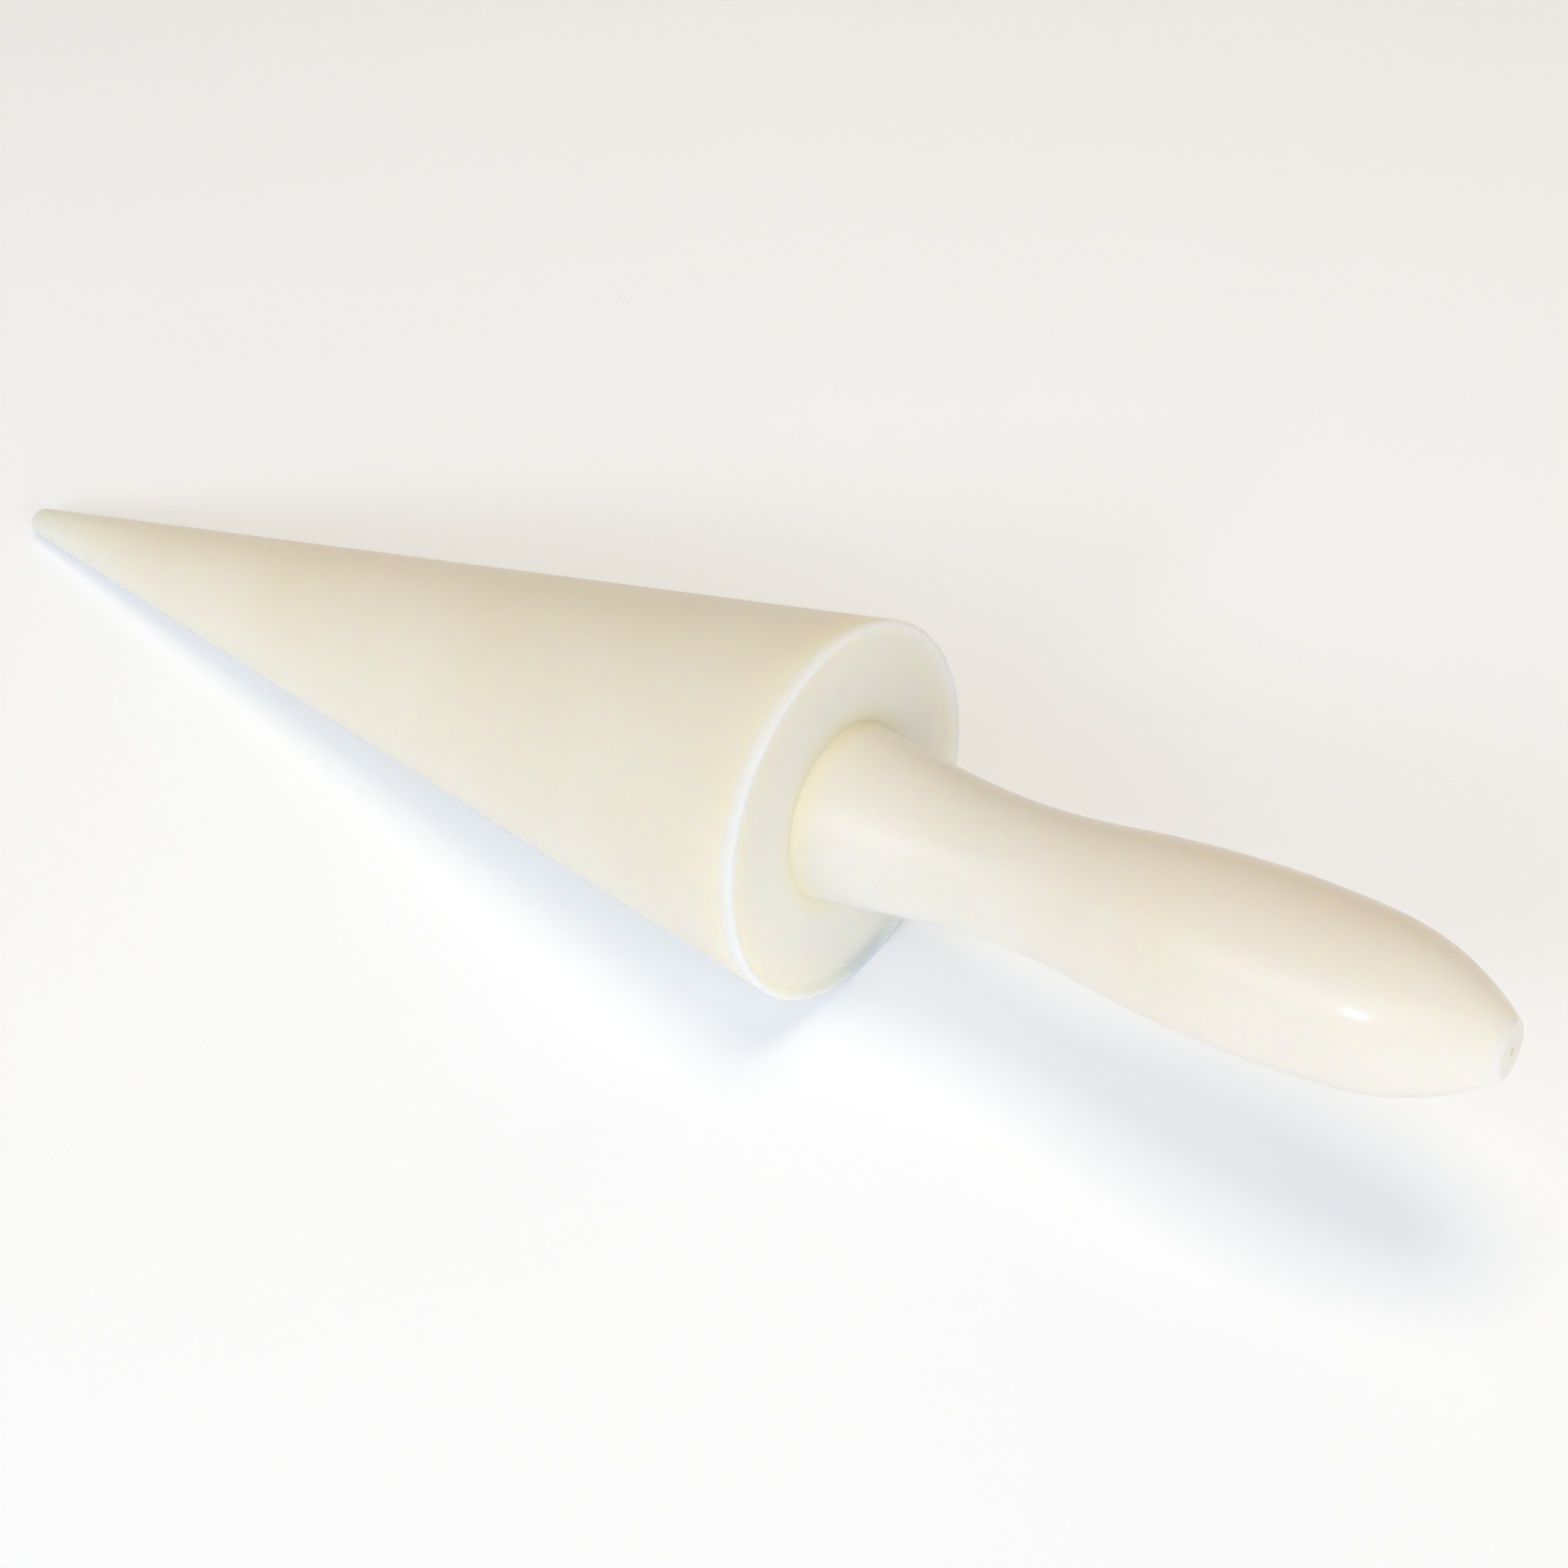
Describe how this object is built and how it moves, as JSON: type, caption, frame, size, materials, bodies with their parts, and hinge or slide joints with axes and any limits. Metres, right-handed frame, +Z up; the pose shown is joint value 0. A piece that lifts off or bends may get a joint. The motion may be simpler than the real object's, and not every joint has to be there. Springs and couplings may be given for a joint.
{
  "type": "cone roller",
  "caption": "Hand tool for rolling warm wafers into ice-cream cones: a long solid plastic cone with a round tip, and a turned plastic handle that stands in the shallow dish of its base.",
  "frame": {"origin": "on the table under the middle of the length, with the tool lying on its side as it rests", "axes": "+X from the tip towards the handle, +Z up from the table; the tool's own axis rises towards the handle by the cone's half-angle of 8.37 degrees"},
  "size_m": [0.2418, 0.0498, 0.0493],
  "materials": {
    "cone_nylon": "satin, smooth turned natural nylon",
    "handle_nylon": "soft gloss, polished natural nylon",
    "stud_steel": "plain threaded steel, hidden inside"
  },
  "bodies": {
    "root": {"cone": "cone_nylon", "handle": "handle_nylon", "stud": "stud_steel"}
  },
  "joints": []
}
